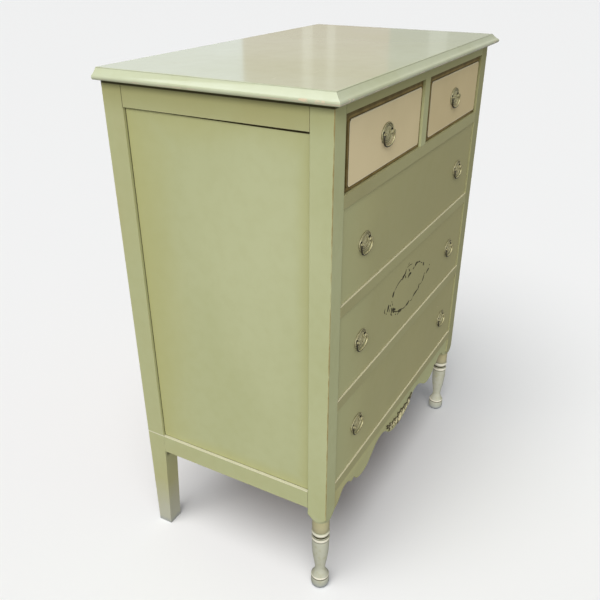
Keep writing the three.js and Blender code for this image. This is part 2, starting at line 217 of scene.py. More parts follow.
SAGE = tint("#B3B689")
SAGE_PALE = tint("#BDC096")
SAGE_WARM = tint("#B3AE7E")
# The front faces' sage: partly a warmer paint, partly darker as painted shade.
SAGE_DEEP = tint("#A8A579")
# Browner sage: painted shade towards the right of the tall fronts, and a cloud tone on the runners.
SAGE_FAR = tint("#A09B70")
# Olive glaze in the spray's mottle and on the worn turning, also used as painted shade under the slab.
GLAZE_AND_SHADE = tint("#9A955A")
YELLOWED = tint("#B0AD70")
# Dark brown for chips, joints, quirks and painted lines, and also for painted shade and shadow: under
# the slab, in the side panel's seams and under the apron's rail.
DARK_GLAZE_AND_SHADE = tint("#3A3318")
# Pale cream, used only for painted highlights.
PAINTED_HIGHLIGHT = tint("#F1ECD6")
PRIMER = tint("#D9C3A5")
GREY_WORN = tint("#B9B9AA")
BLUE_GREY = tint("#8E949B")
CREAM = tint("#E6D6AC")
CREAM_DEEP = tint("#CDBC91")
BORDER = tint("#8A7748")
WOOD_LIGHT = tint("#C9A271")
WOOD_DARK = tint("#8F6539")


def sprayed_sage(finish, base, cloudy):
    """The sage coat, cloudy from the spray gun and faintly yellowed."""
    drift = finish.clouds(2.6, 4, (1, 1, 0.6))
    mottle = finish.clouds(38, 3)
    color = finish.mix(finish.ramp(drift, 0.3, 0.72), base, cloudy)
    return finish.mix(finish.ramp(mottle, 0.35, 0.75) * 0.08, color, GLAZE_AND_SHADE)


def worn_paint(finish, color, relief_scale=1.0, arris_wear=0.35, gloss=0.25):
    """Edges rubbed thin, a few small dings down to the primer, and a fine spray texture."""
    rub = rubbed_edges(finish)
    dings = finish.specks(16, 0.035, 0.12)
    chipped = finish.arris(1.2 * MM) * finish.ramp(finish.clouds(120, 2), 0.63, 0.7)
    color = finish.mix(rub * arris_wear, color, PRIMER)
    color = finish.mix(dings * 0.55, color, PRIMER)
    color = finish.mix(chipped * arris_wear, color, DARK_GLAZE_AND_SHADE)
    peel = finish.clouds(420, 2) * 0.00005 + finish.clouds(55, 2) * 0.00012
    relief = (peel - dings * 0.00015 - chipped * 0.0002) * relief_scale
    roughness = 0.36 + finish.clouds(30, 3) * 0.1 + dings * 0.2
    return finish.surface(color, roughness, relief, Specular_IOR_Level=gloss)


def shadow_under_slab(finish):
    """Painted shadow: the dark line close under the top slab."""
    return finish.ramp(finish.z, slab_low.z - 8.5 * MM, slab_low.z - 7 * MM) * 0.9


def shaded_under_top(finish, color, share):
    """Painted shade of the slab's overhang, in olive: strongest under the slab and gone at the foot of
    the side's top rail.
    """
    under_top = finish.ramp(finish.z, upper_side_low.z - 0.03, slab_low.z)
    return finish.mix(under_top * share, color, GLAZE_AND_SHADE)


def rubbed_edges(finish):
    return finish.arris(1.6 * MM) * finish.ramp(finish.clouds(21, 4), 0.42, 0.66)


def frame_finish():
    """Rear posts, side rails and the top rail: scuffed feet, painted shade in the joints and under the
    slab, and a painted highlight along the side's bottom rail.
    """
    finish = Finish("sage_on_frame")
    color = sprayed_sage(finish, SAGE, SAGE_WARM)
    # Painted shade under the slab's overhang.
    color = shaded_under_top(finish, color, 0.55)
    scuffed = finish.ramp(finish.z + finish.clouds(30, 3) * 0.06, 0.2, 0.05)
    color = finish.mix(scuffed * 0.8, color, GREY_WORN)
    sooty = finish.ramp(finish.z + finish.clouds(60, 3) * 0.02, 0.028, 0.006)
    color = finish.mix(sooty * 0.7, color, BLUE_GREY)
    # Painted highlight: a pale line along the top edge of the side's bottom rail.
    ledge_highlight = finish.band(finish.z, lower_side_high.z, 0.9 * MM, 0.7 * MM)
    inner = finish.ramp(abs(finish.x), -lower_side_high.x - 0.03, -lower_side_high.x)
    color = finish.mix(ledge_highlight * 0.6, color, PAINTED_HIGHLIGHT)
    # Painted shade: a dark line in the corner where the rear post meets the panel and the top rail.
    joint_shade = finish.band(finish.y, rear_low.y, 0.5 * MM, 0.6 * MM) * inner
    on_panel = finish.ramp(abs(finish.x), PANEL_FACE + 2.2 * MM, PANEL_FACE + 1.2 * MM)
    joint_shade = joint_shade * on_panel.most(finish.ramp(finish.z, upper_side_low.z - 2 * MM, upper_side_low.z))
    color = finish.mix((joint_shade * 0.7).most(shadow_under_slab(finish)), color, DARK_GLAZE_AND_SHADE)
    return worn_paint(finish, color)


def panel_finish():
    """The side panel: pale in the middle, with olive glaze sprayed in from its edges, and painted shade
    in its seams with the frame and in the gap under its top rail.
    """
    finish = Finish("sage_on_side_panel")
    color = sprayed_sage(finish, SAGE, SAGE_PALE)
    uneven = finish.clouds(5, 3) * 0.07
    from_rear = rear_low.y - finish.y + uneven
    from_front = finish.y - post_high.y
    from_top = upper_side_low.z - finish.z
    from_bottom = finish.z - lower_side_high.z
    wide = finish.ramp(from_rear, 0.16, 0.03)
    narrow = finish.ramp(from_front.least(from_bottom) + uneven * 0.3, 0.05, 0.008)
    above = finish.ramp(from_top + uneven, 0.11, 0.02)
    color = finish.mix(wide.most(narrow * 0.75).most(above * 0.8) * 0.6, color, YELLOWED)
    # Painted shade in the seams along the frame, and a painted shadow in the gap under the top rail,
    # opening wider towards the front.
    nearest = from_front.least(rear_low.y - finish.y).least(from_bottom)
    seam_shade = finish.ramp(nearest, 1.6 * MM, 0.3 * MM) * 0.85
    open_by = 2.2 * MM + finish.ramp(finish.y, rear_low.y, post_high.y) * 3 * MM
    gap_shadow = finish.ramp(from_top - open_by, 0.5 * MM, 0)
    color = finish.mix(seam_shade.most(gap_shadow), color, DARK_GLAZE_AND_SHADE)
    return worn_paint(finish, color)


def front_finish():
    """The tall drawer fronts: a duller sage, partly as painted shade, with painted light making them
    greener at the left and painted shade making them browner to the right.
    """
    finish = Finish("sage_on_drawer_front")
    color = sprayed_sage(finish, SAGE_DEEP, SAGE_WARM)
    # Painted shade: browner and darker towards the right.
    color = finish.mix(finish.ramp(finish.x, -0.3, 0.25) * 0.75, color, SAGE_FAR)
    # Painted light: lighter, greener sage near the left post.
    reach = finish.x + opening_half + finish.clouds(9, 3) * 0.08
    color = finish.mix(finish.ramp(reach, 0.22, 0.03) * 0.6, color, SAGE)
    return worn_paint(finish, color, 1.3, 0.35, 0.08)


def top_finish():
    """The glossy top: fine scratches, mitred corners, and primer showing along the nose."""
    finish = Finish("sage_on_top")
    color = sprayed_sage(finish, tint("#C4C9AC"), tint("#BABE98"))
    from_end = slab_high.x - abs(finish.x)
    from_nose = finish.y - slab_low.y
    inset = from_end.least(from_nose)
    on_moulding = finish.ramp(inset, MOULDING_WIDTH + 0.4 * MM, MOULDING_WIDTH)
    mitre = finish.band(from_end - from_nose, 0, 0.25 * MM, 0.35 * MM) * on_moulding
    quirk = finish.band(inset, MOULDING_WIDTH - 0.7 * MM, 0.4 * MM, 0.5 * MM)
    low_down = finish.ramp(finish.z - slab_low.z, 9.5 * MM, 6.5 * MM)
    corner = finish.ramp(from_end + from_nose, 0.13, 0.02)
    patches = finish.ramp(finish.clouds(26, 5, (1, 1, 2), 0.62) + corner * 0.16, 0.68, 0.73)
    line = finish.band(finish.z - slab_low.z, 3.4 * MM, 0.5 * MM, 0.8 * MM)
    line = line * finish.ramp(finish.clouds(30, 3), 0.4, 0.6) * 0.7
    worn = (patches * low_down).most(line) * finish.ramp(inset, 4 * MM, 1.5 * MM)
    strokes = finish.clouds(9, 2, (1, 22, 1))
    scratches = finish.ramp(strokes, 0.7, 0.74) * finish.ramp(finish.clouds(5, 2), 0.5, 0.62)
    dings = finish.specks(60, 0.06, 0.04)
    color = finish.mix(mitre * 0.5 + quirk * 0.35, color, DARK_GLAZE_AND_SHADE)
    color = finish.mix(worn * 0.9, color, PRIMER)
    color = finish.mix((scratches * 0.18).most(dings * 0.5), color, tint("#ECEADB"))
    relief = worn * -0.0002
    roughness = 0.1 + finish.clouds(7, 3) * 0.08 + worn * 0.3 + scratches * 0.1
    return finish.surface(
        color, roughness, relief, Specular_IOR_Level=0.5, Coat_Weight=0.35, Coat_Roughness=0.08
    )


def leg_finish():
    """The front posts: sage above, rubbed grey on the turning, dark in its quirks, with painted
    highlights on the bead crests and painted shade under the slab and on the right post.
    """
    finish = Finish("sage_on_front_post")
    color = sprayed_sage(finish, SAGE, SAGE_PALE)
    # Painted shade: the right post browner and darker.
    color = finish.mix(finish.ramp(finish.x, 0.1, 0.3) * 0.7, color, tint("#8B865C"))
    # Painted shade under the slab's overhang.
    color = shaded_under_top(finish, color, 0.4)
    from_corner = (half_width - abs(finish.x)).most(finish.y - front_y)
    ragged = finish.clouds(45, 4) * 3 * MM
    corner = finish.ramp(from_corner + ragged, 3.4 * MM, 2.2 * MM)
    corner = corner * finish.ramp(finish.clouds(9, 3), 0.36, 0.5)
    color = finish.mix(corner * 0.8, color, tint("#8C7440"))
    rubbed = finish.ramp(finish.z + finish.clouds(26, 4) * 0.05, 0.25, 0.17)
    color = finish.mix(rubbed * 0.85, color, GREY_WORN)
    color = finish.mix(finish.ramp(finish.clouds(90, 4), 0.45, 0.75) * rubbed * 0.35, color, GLAZE_AND_SHADE)
    sooty = finish.ramp(finish.z + finish.clouds(70, 3) * 0.012, 0.024, 0.01)
    color = finish.mix(sooty * 0.85, color, BLUE_GREY)
    scraped = finish.ramp(finish.z + finish.clouds(80, 4) * 0.006, 0.011, 0.005)
    color = finish.mix(scraped * 0.8, color, tint("#4E6075"))
    neck = finish.band(finish.z, 0.19, 0.014, 0.004)
    color = finish.mix(neck * 0.6, color, tint("#AFA37C"))
    drum = finish.ramp(finish.z + finish.clouds(60, 4) * 0.01, 0.034, 0.02)
    color = finish.mix(drum * 0.5, color, tint("#A9AB9E"))
    # Painted highlights on the bead crests, and pale wear on the foot's collar ring.
    bead_highlights = finish.band(finish.z, 0.1675, 0.002, 0.002)
    bead_highlights = bead_highlights + finish.band(finish.z, 0.150, 0.002, 0.002)
    worn_ring = finish.band(finish.z + finish.clouds(50, 3) * 0.004, 0.0325, 0.0012, 0.0014)
    color = finish.mix((bead_highlights * 0.7).most(worn_ring * 0.8), color, tint("#EFE9D6"))
    quirks = finish.band(finish.z, 0.1588, 0.0016, 0.0012)
    lines = finish.band(finish.z, 0.1738, 0.0006, 0.0008)
    lines = lines + finish.band(finish.z, 0.1445, 0.0006, 0.0008)
    lines = lines + finish.band(finish.z, 0.1545, 0.0004, 0.0006)
    groove = finish.band(finish.z, 0.0262, 0.0006, 0.0012)
    color = finish.mix(quirks.most(lines * 0.65).most(groove * 0.75), color, DARK_GLAZE_AND_SHADE)
    # Painted shadow under the slab.
    color = finish.mix(shadow_under_slab(finish), color, DARK_GLAZE_AND_SHADE)
    return worn_paint(finish, color, 1.5, 0.5, 0.12)


def apron_finish():
    """The apron: a warm sage, with painted shade where it meets the rail above it."""
    finish = Finish("sage_on_apron")
    color = sprayed_sage(finish, SAGE_WARM, SAGE)
    # Painted shade under the rail.
    shade_below_rail = finish.ramp(apron_high.z - finish.z, 0.006, 0)
    color = finish.mix(shade_below_rail * 0.5, color, DARK_GLAZE_AND_SHADE)
    return worn_paint(finish, color, 1.3, 0.55, 0.08)


def cream_finish():
    """A small drawer front: a cream field, a dark line round it, and an olive-brown border, with
    painted shade deepening the cream to the right and a painted highlight along the field's edge.
    """
    finish = Finish("cream_on_drawer_front")
    middle_x = (field_low.x + field_high.x) / -2
    half_x = (field_high.x - field_low.x) / 2 - 12 * MM
    low_z = field_low.z + 7.5 * MM
    high_z = field_high.z - 12 * MM
    corner = 7 * MM
    across = (abs(abs(finish.x - 6 * MM) - middle_x) - (half_x - corner)).most(0.0)
    upright = (abs(finish.z - (low_z + high_z) / 2) - ((high_z - low_z) / 2 - corner)).most(0.0)
    beyond = (across * across + upright * upright) ** 0.5 - corner
    # Painted shade: the cream deepens towards the right, over random clouds.
    drift = finish.clouds(7, 3) * 0.5 + (finish.x + opening_half) * 0.8
    color = finish.mix(finish.ramp(drift, 0.2, 0.8), CREAM, CREAM_DEEP)
    color = finish.mix(finish.ramp(beyond, -0.016, -0.001) * 0.3, color, CREAM_DEEP)
    border = finish.mix(finish.ramp(finish.clouds(40, 4), 0.35, 0.7), BORDER, DARK_GLAZE_AND_SHADE)
    border = finish.mix(0.6, border, BORDER)
    line = finish.band(beyond, 1.1 * MM, 0.7 * MM, 0.5 * MM)
    rim = finish.ramp(beyond, 5.5 * MM, 7 * MM) * 0.5
    color = finish.mix(finish.ramp(beyond, 0.1 * MM, 0.5 * MM), color, border)
    color = finish.mix(line.most(rim) * 0.9, color, DARK_GLAZE_AND_SHADE)
    # Painted highlight along the field's edge.
    field_edge_highlight = finish.band(beyond, -0.5 * MM, 0.6 * MM, 0.5 * MM)
    color = finish.mix(field_edge_highlight * 0.4, color, PAINTED_HIGHLIGHT)
    relief = finish.clouds(300, 2) * 0.00006
    roughness = 0.42 + finish.clouds(20, 3) * 0.12
    return finish.surface(color, roughness, relief, Specular_IOR_Level=0.08)


def carving_finish():
    """Painted carving: cream, with painted highlights on the high places, and dark brown in the
    hollows.
    """
    finish = Finish("cream_on_carving")
    proud = drawer_face_y - finish.y
    hollow = finish.ramp(proud + finish.clouds(150, 3) * 0.002, 0.0056, 0.0034)
    color = finish.mix(finish.ramp(finish.clouds(60, 3), 0.35, 0.65), tint("#B5AD7F"), tint("#D8CFA6"))
    color = finish.mix(hollow * 0.95, color, tint("#2E2812"))
    # Painted highlights on the high places.
    high = finish.ramp(proud, 0.0050, 0.0064) * finish.ramp(finish.clouds(90, 3), 0.35, 0.6)
    color = finish.mix(high * 0.9, color, tint("#FBF6DE"))
    relief = finish.clouds(260, 3) * 0.0002
    return finish.surface(color, 0.4 + finish.clouds(50, 2) * 0.15, relief, Specular_IOR_Level=0.25)


def stroke_finish():
    """Dark olive paint, thin in places."""
    finish = Finish("painted_wreath")
    thin = finish.ramp(finish.clouds(110, 4), 0.42, 0.68)
    color = finish.mix(thin * 0.6, tint("#2B260E"), tint("#655F33"))
    return finish.surface(color, 0.5 + finish.clouds(60, 2) * 0.1, Specular_IOR_Level=0.3)


# ---- Bare wood and brass --------------------------------------------------------------------


def grained(finish, stretch):
    """Long grain along the axis with the smallest stretch, in rings and fine pores."""
    rings = finish.clouds(7, 3, stretch)
    figure = finish.node("ShaderNodeMath", {"operation": "SINE"}, {0: rings * 70})
    pores = finish.clouds(70, 3, stretch, 0.6)
    color = finish.mix(finish.ramp(figure, -0.9, 0.9) * 0.28, WOOD_LIGHT, WOOD_DARK)
    color = finish.mix(finish.ramp(pores, 0.5, 0.72) * 0.4, color, tint("#6E4A28"))
    return color, pores


def wood_finish(name, stretch):
    """Bare wood, soiled along its edges."""
    finish = Finish(name)
    color, pores = grained(finish, stretch)
    soiled = finish.arris(2 * MM)
    color = finish.mix(soiled * 0.3, color, tint("#5B4127"))
    relief = pores * 0.0002
    return finish.surface(color, 0.62 + pores * 0.15, relief, Specular_IOR_Level=0.3)


def runner_finish(name):
    """A drawer frame: paint on the front rail's face, bare wood behind it, and a painted highlight
    along the rail's top edge under each tall drawer.
    """
    finish = Finish(name)
    paint = sprayed_sage(finish, SAGE_DEEP, SAGE_FAR)
    wood, pores = grained(finish, (4, 0.6, 4))
    back = finish.y - front_y + finish.clouds(40, 3) * 0.006
    bare = finish.ramp(back, 0.010, 0.013)
    color = finish.mix(bare, paint, wood)
    # Painted highlight: a pale line along each rail's top edge under the tall drawers.
    ledge_highlight = finish.z * 0
    for drawer in TALL_DRAWERS:
        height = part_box(f"{drawer}_front")[0].z - FRONT_GAP
        ledge_highlight = ledge_highlight.most(finish.band(finish.z, height, 0.8 * MM, 0.7 * MM))
    ledge_highlight = ledge_highlight * finish.ramp(finish.y - front_y, 8 * MM, 5 * MM)
    color = finish.mix(ledge_highlight * 0.7, color, tint("#E4DDBE"))
    rub = rubbed_edges(finish)
    color = finish.mix(rub * 0.4, color, PRIMER)
    relief = finish.clouds(420, 2) * 0.00005 + pores * bare * 0.0002
    return finish.surface(color, 0.36 + bare * 0.3, relief, Specular_IOR_Level=0.1)


def brass_finish():
    """Antiqued brass: rubbed on the high places, brown-black in the recesses, and near black round the
    studs, part patina and part painted shade.
    """
    finish = Finish("antiqued_brass")
    proud = finish.y * -1
    across, upright = finish.x * (1 / PLATE_HALF_WIDTH), finish.z * (1 / PLATE_HALF_HEIGHT)
    share = (across * across + upright * upright) ** 0.5
    near_stud = abs(abs(finish.x) - STUD_SPACING / 2)
    above = finish.z - 2 * MM
    from_stud = (near_stud * near_stud + above * above) ** 0.5
    patina = finish.clouds(160, 4, (1, 1, 1), 0.6)
    low = finish.ramp(proud, 2.6 * MM, 2.2 * MM)
    grooves = finish.band(share, 0.855, 0.015, 0.035).most(finish.band(share, 0.69, 0.01, 0.04))
    rim = finish.ramp(share, 0.965, 0.995)
    # Near black round each stud: part patina, part painted shade.
    stud_patina_and_shade = finish.ramp(from_stud, 5.6 * MM, 3.8 * MM) * low
    color = finish.mix(finish.ramp(patina, 0.35, 0.7), tint("#BDB78F"), tint("#8B8458"))
    color = finish.mix(finish.ramp(proud, 1.8 * MM, 2.2 * MM) * 0.5, color, tint("#DAD3AC"))
    color = finish.mix(finish.ramp(proud, 3 * MM, 5 * MM) * 0.5, color, tint("#5A5230"))
    color = finish.mix((grooves * 0.9).most(rim * 0.7) * low, color, tint("#3A3115"))
    color = finish.mix(stud_patina_and_shade, color, tint("#0E0C05"))
    roughness = 0.3 + patina * 0.2 + stud_patina_and_shade * 0.3
    relief = patina * 0.0002
    return finish.surface(color, roughness, relief, Metallic=0.2, Specular_IOR_Level=0.35)


def bail_finish():
    """The same brass on the bail, with painted shade below and on its outer side."""
    finish = Finish("antiqued_brass_wire")
    patina = finish.clouds(140, 4, (1, 1, 1), 0.6)
    facing = finish.node("ShaderNodeNewGeometry", {}, {}, "Normal")
    parts = finish.node("ShaderNodeSeparateXYZ", {}, {0: facing})
    outward = Wire(finish, parts.socket.node.outputs["X"]) * finish.x * (1 / PLATE_HALF_WIDTH)
    inward = Wire(finish, parts.socket.node.outputs["Z"]) - outward
    # Painted shade on the underside and the outer side, set by which way the surface faces.
    below = finish.ramp(inward + patina * 0.4, 0.65, 0.2)
    color = finish.mix(finish.ramp(patina, 0.4, 0.65), tint("#CBC497"), tint("#7C7445"))
    color = finish.mix(below * 0.95, color, tint("#1C1506"))
    return finish.surface(color, 0.25 + patina * 0.2, patina * 0.0002, Metallic=0.2)


# ---- Mesh kit -------------------------------------------------------------------------------


def new_object(name, mesh, material):
    """A linked object from a bmesh, which is used up."""
    data = bpy.data.meshes.new(name)
    mesh.to_mesh(data)
    mesh.free()
    data.materials.append(material)
    thing = bpy.data.objects.new(name, data)
    bpy.context.scene.collection.objects.link(thing)
    return thing


def make_piece(name, mesh, finish, body, stands_for=(), place=None, sharp=38):
    """A finished piece, smooth where its faces meet at less than sharp degrees."""
    bmesh.ops.recalc_face_normals(mesh, faces=mesh.faces)
    piece = new_object(name, mesh, finish)
    piece.data.shade_smooth()
    piece.data.set_sharp_from_angle(angle=math.radians(sharp))
    if place:
        piece.location = place
    return settled(piece, body, stands_for)


def settled(piece, body, stands_for):
    """Puts a piece on its body, in place of the frame's own nodes."""
    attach(piece, body)
    if stands_for:
        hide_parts(*stands_for)
    return piece


def loft(mesh, rings, capped=True):
    """Skins a row of closed rings of equal length."""
    rows = [[mesh.verts.new(point) for point in ring] for ring in rings]
    count = len(rows[0])
    for lower, upper in zip(rows, rows[1:]):
        for i in range(count):
            j = (i + 1) % count
            mesh.faces.new((lower[i], lower[j], upper[j], upper[i]))
    if capped:
        mesh.faces.new(rows[0])
        mesh.faces.new(rows[-1])
    return rows


def whole_turn(steps):
    """Angles in equal steps, once round."""
    return [2 * math.pi * i / steps for i in range(steps)]


def arc(centre, radius, start, end, steps):
    """Points of an arc in a plane, from start to end in degrees."""
    turns = [math.radians(start + (end - start) * i / steps) for i in range(steps + 1)]
    return [(centre[0] + radius * math.cos(t), centre[1] + radius * math.sin(t)) for t in turns]


def bezier(points, steps):
    """A quadratic or cubic curve from its control points, without its first point."""
    degree = len(points) - 1
    made = []
    for i in range(1, steps + 1):
        t = i / steps
        weights = [math.comb(degree, k) * t**k * (1 - t) ** (degree - k) for k in range(degree + 1)]
        made.append(tuple(sum(w * p[axis] for w, p in zip(weights, points)) for axis in (0, 1)))
    return made


def flowing(points, steps):
    """A smooth curve through every point."""
    ends = [points[0], *points, points[-1]]
    made = []
    for a, b, c, d in zip(ends, ends[1:], ends[2:], ends[3:]):
        for i in range(steps):
            t = i / steps
            made.append(
                tuple(
                    0.5 * (2 * q + (r - p) * t + (2 * p - 5 * q + 4 * r - s) * t * t)
                    + 0.5 * (3 * q - p - 3 * r + s) * t**3
                    for p, q, r, s in zip(a, b, c, d)
                )
            )
    return [*made, tuple(points[-1])]


def eased(node, width, segments=2):
    """Takes the sharp arrises off a board."""
    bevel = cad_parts[node].modifiers.new("eased_arris", "BEVEL")
    bevel.width = width
    bevel.segments = segments
    bevel.limit_method = "ANGLE"
    bevel.angle_limit = math.radians(40)
    bevel.use_clamp_overlap = False


def dressed(node, finish):
    """Gives a frame board its finish."""
    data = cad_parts[node].data
    data.materials.clear()
    data.materials.append(finish)


# ---- Top slab -------------------------------------------------------------------------------


def slab_profile():
    """Inset and height up one moulded edge: a round nose, a shallow cove and a small fillet."""
    thick = slab_high.z - slab_low.z
    nose = arc((NOSE_RADIUS, NOSE_RADIUS), NOSE_RADIUS, -90, -225, 16)
    shoulder = nose[-1]
    middle = (MOULDING_WIDTH * 0.56, shoulder[1] + (thick - shoulder[1]) * 0.3)
    step_foot = (MOULDING_WIDTH - FILLET_STEP, thick - FILLET_STEP)
    ease = 0.4 * MM
    fillet = [
        (MOULDING_WIDTH - ease, thick - FILLET_STEP),
        (MOULDING_WIDTH, thick - FILLET_STEP + ease),
        (MOULDING_WIDTH, thick - ease),
        (MOULDING_WIDTH + ease * 0.3, thick - ease * 0.3),
        (MOULDING_WIDTH + ease, thick),
    ]
    flat = (MOULDING_WIDTH + 3 * MM, thick)
    return [(NOSE_RADIUS + 2 * MM, 0), *nose, *bezier([shoulder, middle, step_foot], 10), *fillet, flat]


def top_slab(finish):
    mesh = bmesh.new()
    rows = []
    for inset, height in slab_profile():
        x = slab_high.x - inset
        front = slab_low.y + inset
        z = slab_low.z + height
        corners = [(-x, slab_high.y, z), (-x, front, z), (x, front, z), (x, slab_high.y, z)]
        rows.append([mesh.verts.new(corner) for corner in corners])
    for lower, upper in zip(rows, rows[1:]):
        for i in range(3):
            mesh.faces.new((lower[i], lower[i + 1], upper[i + 1], upper[i]))
    mesh.faces.new(rows[0])
    mesh.faces.new(rows[-1])
    mesh.faces.new([row[0] for row in rows] + [row[3] for row in reversed(rows)])
    make_piece("moulded_top", mesh, finish, "carcass", ["top_slab"])


# ---- Front posts ----------------------------------------------------------------------------

NECK_SHARE = 0.925


def square_reach(angle, half_x, half_y):
    """How far the square post reaches at that angle, its arrises rounded."""
    along = Vector((abs(math.cos(angle)), abs(math.sin(angle))))
    corner = Vector((half_x - EDGE_ROUNDING, half_y - EDGE_ROUNDING))
    flat = min(half_x / max(along.x, 1e-6), half_y / max(along.y, 1e-6))
    hit = along * flat
    if hit.x <= corner.x or hit.y <= corner.y:
        return flat
    middle = along.dot(corner)
    return middle + math.sqrt(max(0, middle**2 - corner.length_squared + EDGE_ROUNDING**2))


def turning(radius):
    """Radius and height of the turned leg, from the floor up to the shoulder."""
    neck = radius * NECK_SHARE
    waist = radius * 0.565
    drum = flowing(
        [(radius * 0.74, 0), (radius * 0.9, 2 * MM), (radius * 0.975, 6 * MM), (radius, 13 * MM),
         (radius * 0.985, 22 * MM), (radius * 0.95, 25.2 * MM)], 5
    )
    collar = [(radius * 0.915, 26.2 * MM), (radius * 0.93, 27.2 * MM), (radius * 0.985, 30 * MM)]
    collar += [(radius * 0.99, 30.7 * MM), (radius * 0.975, 31.4 * MM)]
    body = flowing(
        [(radius * 0.9, 34 * MM), (radius * 0.7, 42 * MM), (waist, 52 * MM), (waist * 1.13, 68 * MM),
         (radius * 0.8, 90 * MM), (radius * 0.91, 115 * MM), (radius * 0.935, 135 * MM),
         (radius * 0.91, 143.6 * MM)], 7
    )
    swell = [radius * 0.9 + 1.9 * MM * math.sin(math.pi * i / 10) for i in range(11)]
    lower_bead = [(reach, (144.8 + i) * MM) for i, reach in enumerate(swell)]
    quirk = [(radius * 0.87, 156.4 * MM), (radius * 0.845, 158.8 * MM), (radius * 0.87, 161.2 * MM)]
    upper_bead = [(reach, (162.6 + i) * MM) for i, reach in enumerate(swell)]
    neck_line = [(neck * 0.96, 173.8 * MM), (neck, 175 * MM), (neck, 190 * MM), (neck, 205.4 * MM)]
    return [*drum, *collar, *body, *lower_bead, *quirk, *upper_bead, *neck_line]


def front_post(side, finish):
    """A square post whose foot is turned, as one skin of rings from the floor up."""
    low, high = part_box(f"front_post_{side}")
    half_x, half_y = (high.x - low.x) / 2, (high.y - low.y) / 2
    middle_x, middle_y = (high.x + low.x) / 2, (high.y + low.y) / 2
    corner_turn = math.atan2(half_y, half_x)
    corners = [corner_turn, math.pi - corner_turn, math.pi + corner_turn, -corner_turn]
    near = [math.radians(step) for step in (-2.4, -1.6, -0.8, 0, 0.8, 1.6, 2.4)]
    turns = whole_turn(RING_STEPS)
    turns = [t for t in turns if all(abs(math.remainder(t - c, 2 * math.pi)) > 0.05 for c in corners)]
    turns = sorted(turns + [(c + step) % (2 * math.pi) for c in corners for step in near])
    turned = min(half_x, half_y) * 0.991
    neck = turned * NECK_SHARE
    diagonal = math.hypot(half_x, half_y)
    cut = [
        (neck + (diagonal - neck + 0.001) * (i / 26) ** 1.15, (206 + 20 * i / 26) * MM)
        for i in range(27)
    ]
    levels = [*turning(turned), *cut, (1, 0.23), (1, 0.5), (1, 0.8), (1, high.z)]
    rings = []
    for radius, z in levels:
        reach = [min(radius, square_reach(turn, half_x, half_y)) for turn in turns]
        rings.append(
            [(middle_x + r * math.cos(t), middle_y + r * math.sin(t), z) for r, t in zip(reach, turns)]
        )
    mesh = bmesh.new()
    loft(mesh, rings)
    name = f"turned_post_{side}"
    make_piece(name, mesh, finish, "carcass", [f"front_post_{side}"])


# ---- Apron and carving ----------------------------------------------------------------------


def apron_edge():
    """Distance from the middle and depth below the rail, in millimetres, out to the post."""
    end = apron_high.x / MM
    edge = [(0, 67)]
    edge += bezier([(0, 67), (88, 67), (72, 25), (122, 25)], 22)
    edge += bezier([(122, 25), (165, 25), (182, 64), (224, 64)], 18)
    edge += bezier([(224, 64), (264, 64), (275, 36.5)], 14)
    edge += [(283, 43), (290, 44)]
    edge += bezier([(290, 44), (302, 27), (322, 27)], 10)
    edge += bezier([(322, 27), (352, 27), (345, 55), (end, 56)], 16)
    return edge


def apron(finish):
    """A sawn board with its lower edge eased."""
    half = [(x * MM, apron_high.z - depth * MM) for x, depth in apron_edge()]
    outline = [(-x, z) for x, z in reversed(half)] + half[1:]
    outline += [(apron_high.x, apron_high.z), (-apron_high.x, apron_high.z)]
    mesh = bmesh.new()
    rows = [[mesh.verts.new((x, y, z)) for x, z in outline] for y in (apron_low.y, apron_high.y)]
    mesh.faces.new(rows[0])
    mesh.faces.new(rows[1])
    for i in range(len(outline)):
        j = (i + 1) % len(outline)
        mesh.faces.new((rows[0][i], rows[0][j], rows[1][j], rows[1][i]))
    rims = [edge for edge in mesh.edges if abs(edge.verts[0].co.y - edge.verts[1].co.y) < 1e-6]
    bmesh.ops.bevel(mesh, geom=rims, offset=0.9 * MM, segments=2, profile=0.5, affect="EDGES")
    make_piece("shaped_apron", mesh, finish, "carcass", ["apron"])


def leaf_body(mesh, x, z, long, wide, proud, tilt, lift=0.0, ridge=0.25):
    """A pointed leaf or petal lying on the apron, domed, with a vein down its middle."""
    steps, sides = 12, 10
    base_y = apron_low.y - 0.3 * MM
    rings = []
    for i in range(1, steps):
        t = i / steps
        half = wide * math.sin(math.pi * t) ** 0.75
        high = proud * math.sin(math.pi * t) ** 0.6
        ring = []
        for k in range(sides + 1):
            s = k / sides * 2 - 1
            dome = math.sqrt(max(0, 1 - s * s)) * (1 - ridge * math.exp(-((s * 4) ** 2)))
            ring.append((long * (2 * t - 1), -(high * dome + lift), half * s))
        ring += [(long * (2 * t - 1), 0.0, half * (1 - 2 * k / 3)) for k in (1, 2)]
        rings.append(ring)
    cos, sin = math.cos(tilt), math.sin(tilt)
    placed = [
        [(x + u * cos - w * sin, base_y + min(0, v), z + u * sin + w * cos) for u, v, w in ring]
        for ring in rings
    ]
    loft(mesh, placed)


def flower_body(mesh, x, z, radius, proud, petals, turn):
    """A flower head: rounded petals round a domed heart."""
    for i in range(petals):
        angle = turn + 2 * math.pi * i / petals
        leaf_body(
            mesh, x + math.cos(angle) * radius * 0.56, z + math.sin(angle) * radius * 0.56,
            radius * 0.46, radius * 0.34, proud * 0.82, angle, ridge=0.45,
        )
    rings = []
    for i in range(7):
        fall = math.radians(90 * i / 7)
        ring_radius = radius * 0.3 * math.cos(fall)
        y = apron_low.y - 0.3 * MM - proud * (0.45 + 0.55 * math.sin(fall))
        rings.append(
            [(x + ring_radius * math.cos(a), y, z + ring_radius * math.sin(a))
             for a in whole_turn(14)]
        )
    base = [(px, apron_low.y - 0.3 * MM, pz) for px, _, pz in rings[0]]
    loft(mesh, [base, *rings])


